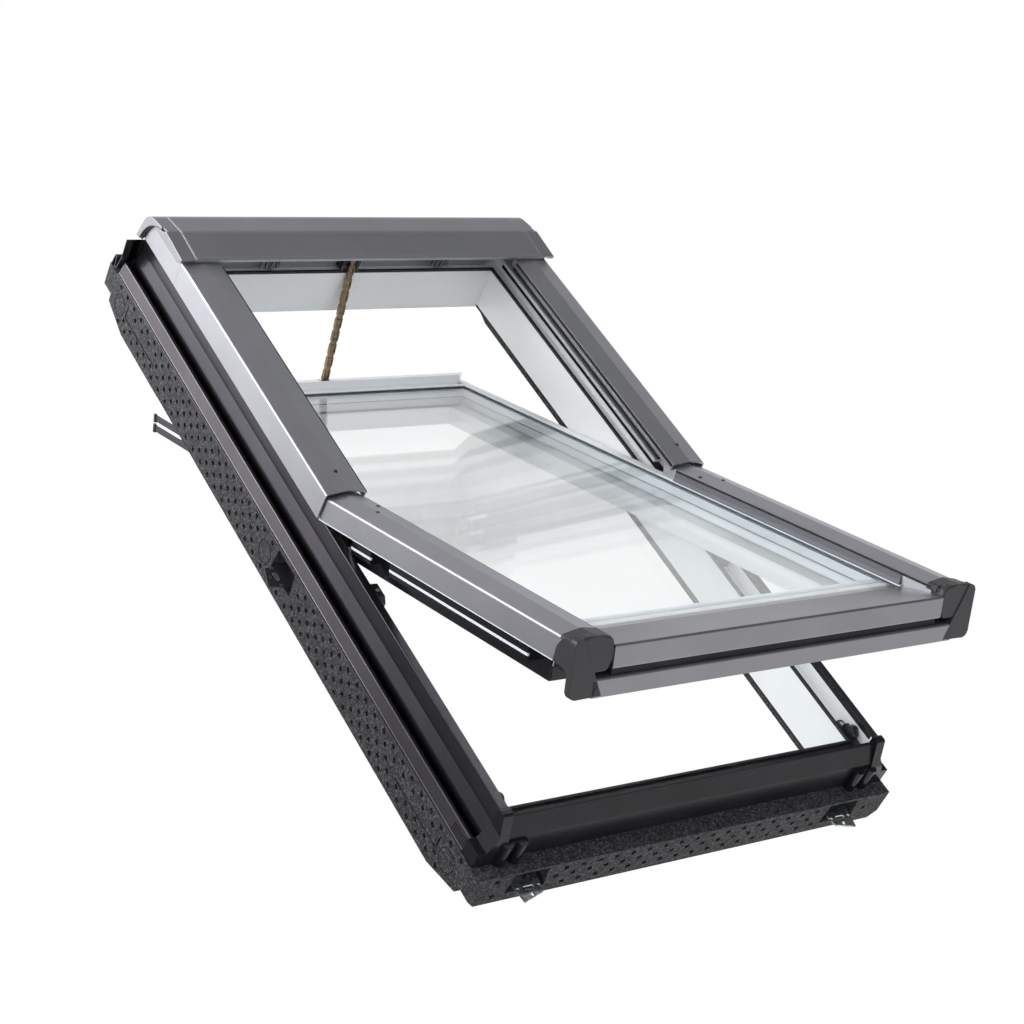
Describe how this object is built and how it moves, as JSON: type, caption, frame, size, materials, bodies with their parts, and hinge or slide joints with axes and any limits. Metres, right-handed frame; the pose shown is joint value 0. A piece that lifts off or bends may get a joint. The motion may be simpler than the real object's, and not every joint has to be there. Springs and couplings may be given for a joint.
{
  "type": "centre-pivot roof window",
  "caption": "Centre-pivot roof window with a white frame, dark metal covers, triple glazing, an electric push chain and a foam insulation block around the frame.",
  "frame": {"origin": "middle of the roof opening, on the plane of the foam block's upper face, which lies in the roof surface", "axes": "+X across the window, +Y up the roof slope, +Z out of the roof"},
  "size_m": [0.848, 1.416, 0.6412],
  "materials": {
    "white_pvc": "satin white",
    "black_rubber": "matte",
    "grey_foam": "beaded foam",
    "dark_metal": "satin metallic paint",
    "black_gloss": "gloss",
    "dark_plastic": "fine grain",
    "zinc_steel": "zinc coated",
    "grey_panel": "matte",
    "bronze": "dull bronze",
    "clear_glass": "clear",
    "grey_spacer": "matte",
    "bright_aluminium": "mill"
  },
  "bodies": {
    "frame": {"frame_left_jamb": "white_pvc", "frame_right_jamb": "white_pvc", "frame_head": "white_pvc", "frame_sill": "white_pvc", "frame_gasket": "black_rubber", "lining_gasket": "black_rubber", "insulation_left": "grey_foam", "insulation_right": "grey_foam", "insulation_top": "grey_foam", "insulation_bottom": "grey_foam", "side_cladding_left": "dark_metal", "side_cladding_right": "dark_metal", "head_cladding": "dark_metal", "sill_cladding": "dark_metal", "corner_piece_left": "black_gloss", "corner_piece_right": "black_gloss", "hood": "dark_metal", "hood_caps": "dark_plastic", "upper_cover_left": "dark_metal", "upper_cover_right": "dark_metal", "cover_screws": "zinc_steel", "cover_carriers": "dark_plastic", "upper_seals": "black_rubber", "frame_hinges": "dark_plastic", "lock_keepers": "dark_plastic", "stop_blocks": "dark_plastic", "side_brackets": "zinc_steel", "end_brackets": "zinc_steel", "head_panel": "grey_panel", "drive_housing": "dark_plastic", "drive_guide": "dark_plastic", "drive_chain": "bronze", "head_catches": "dark_plastic"},
    "sash": {"sash_left_stile": "white_pvc", "sash_right_stile": "white_pvc", "sash_top_rail": "white_pvc", "sash_bottom_rail": "white_pvc", "outer_pane": "clear_glass", "middle_pane": "clear_glass", "inner_pane": "clear_glass", "outer_spacer": "grey_spacer", "inner_spacer": "grey_spacer", "glazing_gasket": "black_rubber", "lower_cover_left": "dark_metal", "lower_cover_right": "dark_metal", "lower_cover_screws": "zinc_steel", "cap_outer_left": "dark_plastic", "cap_outer_right": "dark_plastic", "caps_inner": "dark_plastic", "bottom_cover": "dark_metal", "apron_carrier": "dark_plastic", "apron_strip": "dark_metal", "sash_lip_left": "dark_plastic", "sash_lip_right": "dark_plastic", "bottom_lip": "dark_plastic", "lip_strips": "bright_aluminium", "side_profiles": "dark_plastic", "sash_hinges": "zinc_steel", "chain_bracket": "zinc_steel"}
  },
  "joints": [
    {"name": "sash_pivot", "type": "hinge", "parent": "frame", "child": "sash", "pos_m": [0, -0.078, 0.067], "axis": [1, 0, 0], "range_deg": [0, 25.3], "deforming": ["drive_chain"]}
  ]
}
